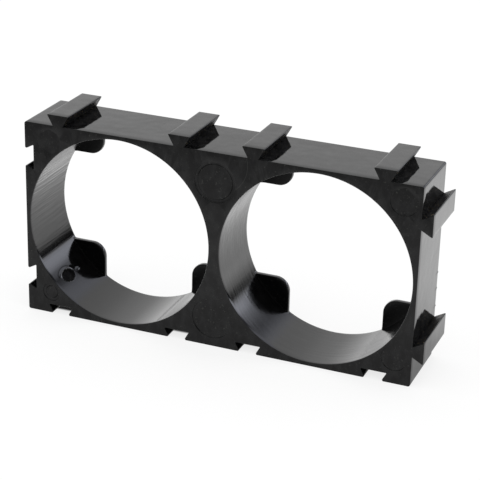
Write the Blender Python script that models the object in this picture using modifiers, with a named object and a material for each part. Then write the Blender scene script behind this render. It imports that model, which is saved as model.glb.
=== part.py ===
"""Two-cell battery bracket, moulded in one piece in glossy black plastic.

The bracket stands on its bottom face, as it does before it is joined to others. X runs along its
length, Y from its front face to its back face and Z up. The origin is the centre of the bottom face.
Each cell goes in from the front and stops at four ears at the back of its bore. Dovetail tails on the
top and right sides slide into the slots in the bottom and left sides of the next brackets.
"""

import math

import bmesh
import bpy
from mathutils import Matrix, Vector

MM = 0.001

# Cells and the bores that hold them
CELL_COUNT = 2
CELL_DIAMETER = 32.2 * MM
CELL_CLEARANCE = 0.2 * MM
BORE_DRAFT = 0.05 * MM
BORE_STEPS = 96

# Walls: outside each bore at its thinnest, and between two bores
OUTER_WALL = 0.75 * MM
WEB_WALL = 1.9 * MM
DEPTH = 12.35 * MM
BLOCK_CORNER_RADIUS = 0.35 * MM
EDGE_BREAK = 0.1 * MM

# Dovetail tails, and the slots that take the tails of the next bracket
TAIL_INSET = 6.15 * MM
TAIL_HEIGHT = 1.85 * MM
TAIL_TOP_WIDTH = 3.9 * MM
TAIL_NECK_WIDTH = 1.85 * MM
TAIL_EDGE_RADIUS = 0.12 * MM
TAIL_ROOT_RADIUS = 0.15 * MM
SLOT_SIDE_CLEARANCE = 0.2 * MM
SLOT_END_CLEARANCE = 0.1 * MM
SLOT_LIP_RADIUS = 0.25 * MM
SLOT_ROOT_RADIUS = 0.2 * MM

# Ears that stop the cell at the back of each bore
EAR_THICKNESS = 0.75 * MM
EAR_REACH = 3.45 * MM
EAR_CORNER_RADIUS = 2.45 * MM
EAR_ROOT_RADIUS = 0.4 * MM

# Parting step: behind the ears' front faces the bore is a little wider
PARTING_STEP = 0.1 * MM
PARTING_LEAD = 0.25 * MM

# Ejector marks sunk in the front face: one at each end corner, and one above and below each web
MARK_DEPTH = 0.12 * MM
CORNER_MARK_DIAMETER = 4.3 * MM
CORNER_MARK_INSET = 2.9 * MM
WEB_MARK_DIAMETER = 7.0 * MM
WEB_MARK_INSET = 5.0 * MM

# Gate mark: a shallow oval dimple in the wall of the left bore, on its lower left diagonal
GATE_MARK_LENGTH = 2.8 * MM
GATE_MARK_WIDTH = 1.7 * MM
GATE_MARK_DEPTH = 0.15 * MM
GATE_MARK_SETBACK = 4.3 * MM
GATE_MARK_ANGLE = math.radians(225)

# Ends of cutters outside the part, the share of an edge that a fillet may take, and the weld distance
OVERRUN = 1.0 * MM
FILLET_ROOM_SHARE = 0.45
FILLET_STEPS = 3
MARK_STEPS = 32
GATE_MARK_STEPS = 20
WELD_DISTANCE = 0.001 * MM
SHARP_ANGLE = math.radians(25)

# Sizes worked out from the ones above
SEAT_RADIUS = (CELL_DIAMETER + CELL_CLEARANCE) / 2
MOUTH_RADIUS = SEAT_RADIUS + BORE_DRAFT
CELL_PITCH = SEAT_RADIUS * 2 + WEB_WALL
BLOCK_SIDE = SEAT_RADIUS * 2 + OUTER_WALL * 2
LENGTH = CELL_PITCH * (CELL_COUNT - 1) + BLOCK_SIDE
JOIN_GAP = CELL_PITCH - BLOCK_SIDE
TAIL_SLOPE = (TAIL_TOP_WIDTH - TAIL_NECK_WIDTH) / 2 / TAIL_HEIGHT
SLOT_DEPTH = TAIL_HEIGHT - JOIN_GAP + SLOT_END_CLEARANCE
EAR_OFFSET = (SEAT_RADIUS - EAR_REACH) / math.sqrt(2) - EAR_CORNER_RADIUS * (1 - math.sqrt(0.5))
BORE_HEIGHT = BLOCK_SIDE / 2
FRONT = -DEPTH / 2
BACK = DEPTH / 2
EAR_FACE = BACK - EAR_THICKNESS

# Turns a shape drawn in the XY plane to face the front, so that its own Z points forwards
FACING_FRONT = Matrix.Rotation(math.radians(90), 4, "X")


def cell_centres():
    """Return the x of each bore's centre, from left to right."""
    first = -CELL_PITCH * (CELL_COUNT - 1) / 2
    return [first + CELL_PITCH * index for index in range(CELL_COUNT)]


def arc(centre, radius, start, end, steps):
    """Return the points of an arc about a centre, from one angle to another."""
    angles = [start + (end - start) * step / steps for step in range(steps + 1)]
    return [centre + Vector((math.cos(angle), math.sin(angle))) * radius for angle in angles]


def rounded(corners):
    """Return a closed outline with each corner, given as a point and a radius, made an arc."""
    outline = []
    for index, (corner, radius) in enumerate(corners):
        to_last = corners[index - 1][0] - corner
        to_next = corners[(index + 1) % len(corners)][0] - corner
        half_angle = to_last.angle(to_next) / 2
        room = min(to_last.length, to_next.length) * FILLET_ROOM_SHARE
        setback = min(radius / math.tan(half_angle), room)
        radius = setback * math.tan(half_angle)
        inwards = (to_last.normalized() + to_next.normalized()).normalized()
        centre = corner + inwards * radius / math.sin(half_angle)
        first = corner + to_last.normalized() * setback - centre
        turn = math.pi - half_angle * 2
        if to_last.x * to_next.y - to_last.y * to_next.x > 0:
            turn = -turn
        start = math.atan2(first.y, first.x)
        outline += arc(centre, radius, start, start + turn, FILLET_STEPS)
    return outline


def tail_corners(along, outwards, foot):
    """Return the corners of a tail that stands on a side at its foot."""
    neck = along * TAIL_NECK_WIDTH / 2
    top = along * TAIL_TOP_WIDTH / 2
    rise = outwards * TAIL_HEIGHT
    return [
        (foot - neck, TAIL_ROOT_RADIUS),
        (foot - top + rise, TAIL_EDGE_RADIUS),
        (foot + top + rise, TAIL_EDGE_RADIUS),
        (foot + neck, TAIL_ROOT_RADIUS),
    ]


def slot_corners(along, outwards, mouth):
    """Return the corners of a slot, which follows the joined tail with a clearance all round."""
    root_width = TAIL_NECK_WIDTH / 2 + SLOT_SIDE_CLEARANCE
    lip = along * (root_width + TAIL_SLOPE * JOIN_GAP)
    floor = along * (root_width + TAIL_SLOPE * (JOIN_GAP + SLOT_DEPTH))
    sink = outwards * SLOT_DEPTH
    return [
        (mouth - lip, SLOT_LIP_RADIUS),
        (mouth - floor - sink, SLOT_ROOT_RADIUS),
        (mouth + floor - sink, SLOT_ROOT_RADIUS),
        (mouth + lip, SLOT_LIP_RADIUS),
    ]


def block_outline():
    """Return the bracket's outline seen from the front, anticlockwise from its lower left corner."""
    reach = BLOCK_SIDE / 2 - TAIL_INSET
    right = Vector((1, 0))
    up = Vector((0, 1))
    across = [centre + side for centre in cell_centres() for side in (-reach, reach)]
    upwards = [BORE_HEIGHT - reach, BORE_HEIGHT + reach]
    half = LENGTH / 2
    corners = [(Vector((-half, 0)), BLOCK_CORNER_RADIUS)]
    for x in across:
        corners += slot_corners(right, -up, Vector((x, 0)))
    corners.append((Vector((half, 0)), BLOCK_CORNER_RADIUS))
    for z in upwards:
        corners += tail_corners(up, right, Vector((half, z)))
    corners.append((Vector((half, BLOCK_SIDE)), BLOCK_CORNER_RADIUS))
    for x in reversed(across):
        corners += tail_corners(-right, up, Vector((x, BLOCK_SIDE)))
    corners.append((Vector((-half, BLOCK_SIDE)), BLOCK_CORNER_RADIUS))
    for z in reversed(upwards):
        corners += slot_corners(-up, -right, Vector((-half, z)))
    return rounded(corners)


def ear_opening_outline():
    """Return the opening that four ears leave of one bore, anticlockwise about the bore's axis.

    Each quarter runs from the bore's wall round a small fillet, along an ear's edge, round the ear's
    corner and back to the wall. The quarters are the same, each a right angle on from the last.
    """
    radius = SEAT_RADIUS + PARTING_STEP
    fillet_side = EAR_OFFSET - EAR_ROOT_RADIUS
    fillet_reach = math.sqrt((radius - EAR_ROOT_RADIUS) ** 2 - fillet_side ** 2)
    wall_angle = math.atan2(fillet_side, fillet_reach)
    right_angle = math.pi / 2
    corner = Vector((EAR_OFFSET + EAR_CORNER_RADIUS, EAR_OFFSET + EAR_CORNER_RADIUS))
    wall_steps = round(BORE_STEPS * wall_angle / math.pi)
    lower_fillet = Vector((fillet_reach, fillet_side))
    upper_fillet = Vector((fillet_side, fillet_reach))
    wall_start = right_angle - wall_angle
    quarter = arc(lower_fillet, EAR_ROOT_RADIUS, wall_angle, right_angle, FILLET_STEPS)
    quarter += arc(corner, EAR_CORNER_RADIUS, -right_angle, -math.pi, FILLET_STEPS * 3)
    quarter += arc(upper_fillet, EAR_ROOT_RADIUS, 0, wall_start, FILLET_STEPS)
    quarter += arc(Vector((0, 0)), radius, wall_start, right_angle + wall_angle, wall_steps)[1:-1]
    outline = []
    for turn in range(4):
        swing = Matrix.Rotation(right_angle * turn, 2)
        outline += [swing @ point for point in quarter]
    return outline


def weld_and_smooth(mesh):
    """Weld an extruded outline, make each flat end of it one face and shade its round sides smooth."""
    welded = bmesh.new()
    welded.from_mesh(mesh)
    bmesh.ops.remove_doubles(welded, verts=welded.verts, dist=WELD_DISTANCE)
    heights = [vert.co.z for vert in welded.verts]
    for height in (min(heights), max(heights)):
        end = [
            face
            for face in welded.faces
            if all(abs(vert.co.z - height) < WELD_DISTANCE for vert in face.verts)
        ]
        bmesh.ops.dissolve_faces(welded, faces=end)
    bmesh.ops.recalc_face_normals(welded, faces=welded.faces)
    welded.to_mesh(mesh)
    welded.free()
    mesh.shade_smooth()
    mesh.set_sharp_from_angle(angle=SHARP_ANGLE)


def outline_solid(name, outline, near, far, collection, edge_break=0.0):
    """Return a solid of an outline seen from the front, filled from y = near to y = far.

    With an edge break, the rims of both faces are chamfered by it and the sides keep their place.
    """
    curve = bpy.data.curves.new(name, "CURVE")
    curve.dimensions = "2D"
    curve.fill_mode = "BOTH"
    curve.extrude = (far - near) / 2 - edge_break
    curve.bevel_depth = edge_break
    curve.bevel_resolution = 0
    curve.offset = -edge_break
    spline = curve.splines.new("POLY")
    spline.points.add(len(outline) - 1)
    for spline_point, point in zip(spline.points, outline):
        spline_point.co = (point.x, point.y, 0, 1)
    spline.use_cyclic_u = True
    drawn = bpy.data.objects.new(name, curve)
    drawn.matrix_world = Matrix.Translation((0, (near + far) / 2, 0)) @ FACING_FRONT
    collection.objects.link(drawn)
    bpy.context.view_layer.update()
    evaluated = drawn.evaluated_get(bpy.context.evaluated_depsgraph_get())
    mesh = bpy.data.meshes.new_from_object(evaluated)
    placing = drawn.matrix_world.copy()
    bpy.data.objects.remove(drawn)
    weld_and_smooth(mesh)
    solid = bpy.data.objects.new(name, mesh)
    solid.matrix_world = placing
    collection.objects.link(solid)
    return solid


def hide_cutter(cutter):
    """Mark an object as a cutter, which only shapes others."""
    cutter.hide_render = True
    cutter.display_type = "WIRE"
    return cutter


def seat_cutter(x, cutters):
    """Return the turned cutter of one bore, from in front of the mouth to the ears' front faces.

    Its profile runs down its outer side: the flared rim of the mouth, then the drafted wall.
    """
    flare = EDGE_BREAK + OVERRUN
    depth_to_ears = -EAR_FACE
    profile = [
        (0, OVERRUN - FRONT),
        (MOUTH_RADIUS + flare, OVERRUN - FRONT),
        (MOUTH_RADIUS, -FRONT - EDGE_BREAK),
        (SEAT_RADIUS, depth_to_ears),
        (0, depth_to_ears),
    ]
    mesh = bpy.data.meshes.new("bore_seat_cutter")
    turned = bmesh.new()
    points = [turned.verts.new((radius, 0, height)) for radius, height in profile]
    for upper, lower in zip(points, points[1:]):
        turned.edges.new((upper, lower))
    turned.to_mesh(mesh)
    turned.free()
    cutter = bpy.data.objects.new("bore_seat_cutter", mesh)
    cutter.matrix_world = Matrix.Translation((x, 0, BORE_HEIGHT)) @ FACING_FRONT
    cutters.objects.link(cutter)
    screw = cutter.modifiers.new("turn", "SCREW")
    screw.steps = BORE_STEPS
    screw.render_steps = BORE_STEPS
    screw.use_merge_vertices = True
    screw.merge_threshold = WELD_DISTANCE
    screw.use_smooth_shade = True
    return hide_cutter(cutter)


def ear_opening_cutter(x, cutters):
    """Return the cutter that opens the back of one bore and leaves its four ears."""
    near = EAR_FACE - PARTING_LEAD
    cutter = outline_solid("ear_opening_cutter", ear_opening_outline(), near, BACK + OVERRUN, cutters)
    cutter.location += Vector((x, 0, BORE_HEIGHT))
    return hide_cutter(cutter)


def disc_cutter(name, radius, height, steps, cutters):
    """Return a plain cylinder about its own Z axis, to be placed by its caller."""
    mesh = bpy.data.meshes.new(name)
    disc = bmesh.new()
    bmesh.ops.create_cone(
        disc,
        cap_ends=True,
        segments=steps,
        radius1=radius,
        radius2=radius,
        depth=height,
    )
    disc.to_mesh(mesh)
    disc.free()
    mesh.shade_smooth()
    mesh.set_sharp_from_angle(angle=SHARP_ANGLE)
    cutter = bpy.data.objects.new(name, mesh)
    cutters.objects.link(cutter)
    return hide_cutter(cutter)


def ejector_mark_places():
    """Return each ejector mark as its x, its height and its diameter.

    Beside a slotted side, a corner mark stands further in by the depth of the slots.
    """
    near = CORNER_MARK_INSET
    far = CORNER_MARK_INSET + SLOT_DEPTH
    places = []
    for x in (far - LENGTH / 2, LENGTH / 2 - near):
        for z in (far, BLOCK_SIDE - near):
            places.append((x, z, CORNER_MARK_DIAMETER))
    centres = cell_centres()
    for left, right in zip(centres, centres[1:]):
        for z in (WEB_MARK_INSET, BLOCK_SIDE - WEB_MARK_INSET):
            places.append(((left + right) / 2, z, WEB_MARK_DIAMETER))
    return places


def ejector_mark_cutters(cutters):
    """Return the cutters of all ejector marks."""
    marks = []
    height = MARK_DEPTH + OVERRUN
    for x, z, diameter in ejector_mark_places():
        mark = disc_cutter("ejector_mark_cutter", diameter / 2, height, MARK_STEPS, cutters)
        centre = Vector((x, FRONT + MARK_DEPTH - height / 2, z))
        mark.matrix_world = Matrix.Translation(centre) @ FACING_FRONT
        marks.append(mark)
    return marks


def gate_mark_cutter(cutters):
    """Return the oval cutter of the gate mark, which points out of the left bore's axis."""
    height = GATE_MARK_DEPTH + OVERRUN
    mark = disc_cutter("gate_mark_cutter", GATE_MARK_LENGTH / 2, height, GATE_MARK_STEPS, cutters)
    narrow = Matrix.Scale(GATE_MARK_WIDTH / GATE_MARK_LENGTH, 4, (0, 1, 0))
    lie_along_bore = Matrix.Rotation(math.radians(90), 4, "Z")
    mark.data.transform(lie_along_bore @ narrow)
    reach = MOUTH_RADIUS + GATE_MARK_DEPTH - height / 2
    outwards = Vector((math.cos(GATE_MARK_ANGLE), 0, math.sin(GATE_MARK_ANGLE)))
    axis = Vector((cell_centres()[0], FRONT + GATE_MARK_SETBACK, BORE_HEIGHT))
    aim = Matrix.Rotation(math.radians(90) - GATE_MARK_ANGLE, 4, "Y")
    mark.matrix_world = Matrix.Translation(axis + outwards * reach) @ aim
    return mark


def cut(solid, cutter):
    """Cut a solid with a cutter."""
    boolean = solid.modifiers.new(cutter.name, "BOOLEAN")
    boolean.operation = "DIFFERENCE"
    boolean.solver = "EXACT"
    boolean.object = cutter


def black_plastic():
    """Return the glossy black moulding plastic."""
    material = bpy.data.materials.new("black_plastic")
    material.use_nodes = True
    shader = material.node_tree.nodes["Principled BSDF"]
    shader.inputs["Base Color"].default_value = (0.012, 0.012, 0.013, 1)
    shader.inputs["Roughness"].default_value = 0.22
    shader.inputs["Metallic"].default_value = 0
    return material


def new_collection(name):
    """Return a new collection in the scene."""
    collection = bpy.data.collections.new(name)
    bpy.context.scene.collection.children.link(collection)
    return collection


def build_bracket():
    """Build the bracket from its outline and cut its bores, ears and marks."""
    parts = new_collection("battery_cell_bracket")
    cutters = new_collection("bracket_cutters")
    bracket = outline_solid("cell_bracket", block_outline(), FRONT, BACK, parts, EDGE_BREAK)
    for x in cell_centres():
        cut(bracket, seat_cutter(x, cutters))
        cut(bracket, ear_opening_cutter(x, cutters))
    for mark in ejector_mark_cutters(cutters):
        cut(bracket, mark)
    cut(bracket, gate_mark_cutter(cutters))
    bracket.data.materials.append(black_plastic())
    return bracket


for old_object in list(bpy.data.objects):
    bpy.data.objects.remove(old_object)
build_bracket()
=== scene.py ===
"""Dressed model of a two-cell battery bracket, moulded in one piece in glossy black plastic.

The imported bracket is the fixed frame. A finer mesh of the same form stands for it here, with
rounded edges, smooth bores and the marks that a mould leaves, in procedural plastic under soft
studio light. Lengths are in metres. X runs along the bracket, Y from its front to its back and Z
up. Outlines are drawn as seen from the front, with X to the right and Z up, and run anticlockwise.
"""

import logging
import math
from collections.abc import Callable, Iterable, Sequence
from dataclasses import dataclass, replace
from enum import Enum
from functools import partial, reduce

import bmesh
import bpy
from mathutils import Matrix, Vector


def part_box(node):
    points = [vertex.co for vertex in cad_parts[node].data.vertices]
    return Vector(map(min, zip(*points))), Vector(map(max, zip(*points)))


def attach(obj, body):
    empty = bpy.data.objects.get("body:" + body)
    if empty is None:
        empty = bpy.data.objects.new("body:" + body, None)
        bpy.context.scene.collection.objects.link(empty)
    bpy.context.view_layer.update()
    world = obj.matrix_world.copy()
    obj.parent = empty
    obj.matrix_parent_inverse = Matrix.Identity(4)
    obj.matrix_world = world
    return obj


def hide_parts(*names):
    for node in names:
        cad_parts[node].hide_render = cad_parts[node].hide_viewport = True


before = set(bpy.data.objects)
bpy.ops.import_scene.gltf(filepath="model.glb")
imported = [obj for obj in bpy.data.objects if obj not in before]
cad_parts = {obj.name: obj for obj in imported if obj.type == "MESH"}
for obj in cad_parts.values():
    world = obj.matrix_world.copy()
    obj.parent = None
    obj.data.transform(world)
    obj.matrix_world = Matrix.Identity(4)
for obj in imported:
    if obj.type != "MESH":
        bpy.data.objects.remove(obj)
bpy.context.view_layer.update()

LOG = logging.getLogger("battery_bracket")
MM = 0.001
CM3 = 1e-6
BODY = "root"
CAD_NODE = "cell_bracket"
WELD_DISTANCE = 0.0005 * MM
COLLAPSE_DISTANCE = WELD_DISTANCE / 10
RIGHT_ANGLE = math.pi / 2
SHARPEST_MITRE = 0.5
NOISE_FADE = 0.6
BACKWARDS = Vector((0, 1, 0))
WHITE = (1, 1, 1, 1)

Colour = tuple[float, float, float]
Scale = tuple[float, float, float]
Pair = tuple[float, float]
Profile = tuple[Pair, ...]
Corner = tuple[Vector, float]
Outline = list[Vector]
Ring = list[Vector]
SewnRing = list[bmesh.types.BMVert]
Face = bmesh.types.BMFace
Socket = bpy.types.NodeSocket
Value = float | Sequence[float] | Socket


class Region(Enum):
    """The stretches of the bracket's skin that have a finish of their own."""

    SKIN = 0
    LEFT_BORE = 1
    RIGHT_BORE = 2
    PIN_MARK = 3
    EAR_FACE = 4
    UNDERCUT = 5
    GATE = 6


BORE_REGIONS = (Region.LEFT_BORE, Region.RIGHT_BORE)


def smooth_step(low: float, high: float, value: float) -> float:
    """Ease a value from 0 at the low limit to 1 at the high one."""
    share = min(max((value - low) / (high - low), 0.0), 1.0)
    return share * share * (3 - 2 * share)


def polar(angle: float, radius: float) -> Vector:
    """Return the point of an outline at an angle and radius about its origin."""
    return Vector((math.cos(angle), math.sin(angle))) * radius


def arc(centre: Vector, radius: float, start: float, end: float, steps: int) -> Outline:
    """Return an arc's points, both ends included, with a chord for each step."""
    return [
        centre + polar(start + (end - start) * step / steps, radius) for step in range(steps + 1)
    ]


def straight(start: Vector, end: Vector, steps: int) -> Outline:
    """Return the points that split a straight run into steps, without its ends."""
    return [start.lerp(end, step / steps) for step in range(1, steps)]


def rounded(corners: Sequence[Corner], steps: int) -> Outline:
    """Draw a closed outline whose corners are arcs.

    Args:
        corners: Each corner's point and radius. A radius of 0 leaves the point as it is.
        steps: How many chords each arc has.

    Returns:
        The outline's points.
    """
    outline: Outline = []
    for index, (corner, radius) in enumerate(corners):
        if radius == 0:
            outline.append(corner)
            continue
        to_last = (corners[index - 1][0] - corner).normalized()
        to_next = (corners[(index + 1) % len(corners)][0] - corner).normalized()
        half_angle = to_last.angle(to_next) / 2
        setback = radius / math.tan(half_angle)
        centre = corner + (to_last + to_next).normalized() * radius / math.sin(half_angle)
        first = corner + to_last * setback - centre
        turn = math.pi - half_angle * 2
        if to_last.x * to_next.y - to_last.y * to_next.x > 0:
            turn = -turn
        start = math.atan2(first.y, first.x)
        outline += arc(centre, radius, start, start + turn, steps)
    return outline


def subdivided(outline: Outline, spacing: float) -> Outline:
    """Split the long runs of a closed outline.

    Args:
        outline: The outline's points.
        spacing: The most that two neighbours may lie apart.

    Returns:
        The outline with the added points.
    """
    split: Outline = []
    for point, following in zip(outline, outline[1:] + outline[:1]):
        steps = max(math.ceil((following - point).length / spacing), 1)
        split += [point, *straight(point, following, steps)]
    return split


def moved_in(outline: Outline, distances: Sequence[float]) -> Outline:
    """Move each point of a closed outline to the left of its travel, which is inwards.

    Args:
        outline: The outline's points, anticlockwise.
        distances: How far each point moves.

    Returns:
        The moved points.
    """
    moved: Outline = []
    for index, (point, distance) in enumerate(zip(outline, distances)):
        before = (point - outline[index - 1]).normalized()
        after = (outline[(index + 1) % len(outline)] - point).normalized()
        along = (before + after).normalized()
        mitre = max(along.dot(before), SHARPEST_MITRE)
        moved.append(point + Vector((-along.y, along.x)) * distance / mitre)
    return moved


def at_depths(outline: Outline, depths: Sequence[float]) -> Ring:
    """Stand an outline's points in space, each at a depth of its own."""
    return [Vector((point.x, depth, point.y)) for point, depth in zip(outline, depths)]


def at_depth(outline: Outline, depth: float) -> Ring:
    """Stand an outline in space at one depth."""
    return at_depths(outline, [depth] * len(outline))


def edge_round(radius: float, steps: int) -> list[Pair]:
    """Return how far in from the side and under the face each step round an edge lies."""
    angles = [RIGHT_ANGLE * step / steps for step in range(steps + 1)]
    return [(radius * (1 - math.sin(angle)), radius * (1 - math.cos(angle))) for angle in angles]


def spread(start: float, end: float, spacing: float) -> list[float]:
    """Return even values from start to end, both included, no further apart than spacing."""
    steps = max(math.ceil(abs(end - start) / spacing), 1)
    return [start + (end - start) * step / steps for step in range(steps + 1)]


def placed(name: str, data: bpy.types.ID) -> bpy.types.Object:
    """Put an object with a mesh or a camera's lens into the scene."""
    item = bpy.data.objects.new(name, data)
    bpy.context.scene.collection.objects.link(item)
    return item


class SkinMesh:
    """A closed skin sewn together from rings of points."""

    def __init__(self, name: str) -> None:
        """Start an empty skin for a piece of this name."""
        self.name = name
        self.sewn = bmesh.new()

    def bridge(self, first: SewnRing, second: SewnRing, region: Region) -> None:
        """Sew two rings with as many points together.

        Args:
            first: One ring.
            second: The other ring.
            region: The stretch of skin between them.
        """
        for index, vert in enumerate(first):
            after = (index + 1) % len(first)
            face = self.sewn.faces.new((vert, first[after], second[after], second[index]))
            face.material_index = region.value

    def sleeve(self, rings: Iterable[Ring], region: Region) -> tuple[SewnRing, SewnRing]:
        """Sew a run of rings into a sleeve.

        Args:
            rings: The rings, in order.
            region: The stretch of skin that they make.

        Returns:
            The sleeve's first and last rings.
        """
        sewn = [[self.sewn.verts.new(point) for point in ring] for ring in rings]
        for first, second in zip(sewn, sewn[1:]):
            self.bridge(first, second, region)
        return sewn[0], sewn[-1]

    def cap(self, rings: Sequence[SewnRing], outwards: Vector, region: Region) -> None:
        """Fill a flat face between its rim and the rims of its holes.

        Args:
            rings: The rim, and each hole's rim.
            outwards: The direction that the face looks in.
            region: The stretch of skin that it makes.
        """
        pairs = [pair for ring in rings for pair in zip(ring, ring[1:] + ring[:1])]
        edges = [self.sewn.edges.get(pair) for pair in pairs]
        filled = bmesh.ops.triangle_fill(self.sewn, use_beauty=True, normal=outwards, edges=edges)
        for part in filled["geom"]:
            if isinstance(part, Face):
                part.material_index = region.value

    def weld(self) -> None:
        """Join the points that meet, and turn every face outwards."""
        bmesh.ops.remove_doubles(self.sewn, verts=self.sewn.verts, dist=WELD_DISTANCE)
        bmesh.ops.dissolve_degenerate(self.sewn, edges=self.sewn.edges, dist=COLLAPSE_DISTANCE)
        bmesh.ops.recalc_face_normals(self.sewn, faces=self.sewn.faces)

    def repaint(self, region: Region, lies_there: Callable[[Face], bool]) -> None:
        """Give the faces that lie in a place another region."""
        for face in filter(lies_there, self.sewn.faces):
            face.material_index = region.value

    def piece(self, finishes: Sequence[bpy.types.Material], sharp_angle: float) -> bpy.types.Object:
        """Make the welded skin a piece.

        Args:
            finishes: The material of each region, in the regions' order.
            sharp_angle: The bend above which an edge is shaded sharp.

        Returns:
            The new object.
        """
        open_edges = sum(len(edge.link_faces) != 2 for edge in self.sewn.edges)
        for face in self.sewn.faces:
            face.smooth = True
        for edge in self.sewn.edges:
            edge.smooth = len(edge.link_faces) == 2 and edge.calc_face_angle() < sharp_angle
        facts = (self.name, len(self.sewn.faces), open_edges, self.sewn.calc_volume() / CM3)
        LOG.info("%s: %d faces, %d open edges, %.3f cm3", *facts)
        mesh = bpy.data.meshes.new(self.name)
        self.sewn.to_mesh(mesh)
        self.sewn.free()
        for finish in finishes:
            mesh.materials.append(finish)
        piece = placed(self.name, mesh)
        piece.modifiers.new("flat_faces_stay_flat", "WEIGHTED_NORMAL").keep_sharp = True
        return piece


@dataclass(frozen=True)
class CellSeat:
    """The round seats that the cells slide into, and the block that they set the size of."""

    cell_count: int = 2
    cell_diameter: float = 32.2 * MM
    clearance: float = 0.2 * MM
    draft: float = 0.05 * MM
    web_wall: float = 1.9 * MM
    outer_wall: float = 0.75 * MM
    parting_step: float = 0.1 * MM
    parting_lead: float = 0.25 * MM
    parting_slant: float = 0.02 * MM
    mouth_edge: float = 0.1 * MM

    @property
    def radius(self) -> float:
        """The bore's radius where the cell stops."""
        return (self.cell_diameter + self.clearance) / 2

    @property
    def mouth_radius(self) -> float:
        """The bore's radius at the front."""
        return self.radius + self.draft

    @property
    def open_radius(self) -> float:
        """The bore's radius behind the parting step, between the ears."""
        return self.radius + self.parting_step

    @property
    def pitch(self) -> float:
        """The distance between two bores' centres."""
        return self.radius * 2 + self.web_wall

    @property
    def block_side(self) -> float:
        """The block's height."""
        return (self.radius + self.outer_wall) * 2

    @property
    def length(self) -> float:
        """The block's length, without the tails."""
        return self.pitch * (self.cell_count - 1) + self.block_side

    def centres(self) -> list[Vector]:
        """Return each bore's centre in the outline's plane, from left to right."""
        first = -self.pitch * (self.cell_count - 1) / 2
        height = self.block_side / 2
        return [Vector((first + self.pitch * index, height)) for index in range(self.cell_count)]


@dataclass(frozen=True)
class Dovetail:
    """The dovetail tails, and the slots that take the tails of the next bracket."""

    inset: float = 6.15 * MM
    height: float = 1.85 * MM
    top_width: float = 3.9 * MM
    neck_width: float = 1.85 * MM
    edge_radius: float = 0.12 * MM
    side_clearance: float = 0.2 * MM
    end_clearance: float = 0.1 * MM
    lip_radius: float = 0.25 * MM
    slot_root_radius: float = 0.08 * MM
    flank_tilt: float = 0.2

    @property
    def slope(self) -> float:
        """How much each flank widens for each unit of height."""
        return (self.top_width - self.neck_width) / 2 / self.height

    def slot_depth(self, join_gap: float) -> float:
        """Return how deep the slots are where two brackets stand a gap apart."""
        return self.height - join_gap + self.end_clearance

    def wedge(
        self, along: Vector, rise: Vector, foot: Vector, halves: Pair, radii: Pair
    ) -> list[Corner]:
        """Set out a wedge that widens away from its foot.

        Args:
            along: The direction in which the outline travels.
            rise: The way from its foot to its wide end.
            foot: The middle of its foot.
            halves: Half its width at the foot and at the wide end.
            radii: The radii of its corners at the foot and at the wide end.

        Returns:
            Its corners and their radii.
        """
        neck, top = (along * half for half in halves)
        places = (foot - neck, foot - top + rise, foot + top + rise, foot + neck)
        return list(zip(places, (radii[0], radii[1], radii[1], radii[0])))

    def tail(self, along: Vector, outwards: Vector, foot: Vector) -> list[Corner]:
        """Set out a tail that stands outwards on the middle of its foot."""
        halves = (self.neck_width / 2, self.top_width / 2)
        return self.wedge(along, outwards * self.height, foot, halves, (0.0, self.edge_radius))

    def slot(
        self, along: Vector, outwards: Vector, mouth: Vector, join_gap: float
    ) -> list[Corner]:
        """Set out a slot, which follows the joined tail with a clearance all round.

        Args:
            along: The direction in which the outline travels.
            outwards: The direction in which the slot opens.
            mouth: The middle of its mouth.
            join_gap: How far two joined brackets stand apart.

        Returns:
            Its corners and their radii.
        """
        depth = self.slot_depth(join_gap)
        half_neck = self.neck_width / 2 + self.side_clearance
        halves = (half_neck + self.slope * join_gap, half_neck + self.slope * (join_gap + depth))
        radii = (self.lip_radius, self.slot_root_radius)
        return self.wedge(along, -outwards * depth, mouth, halves, radii)


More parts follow.
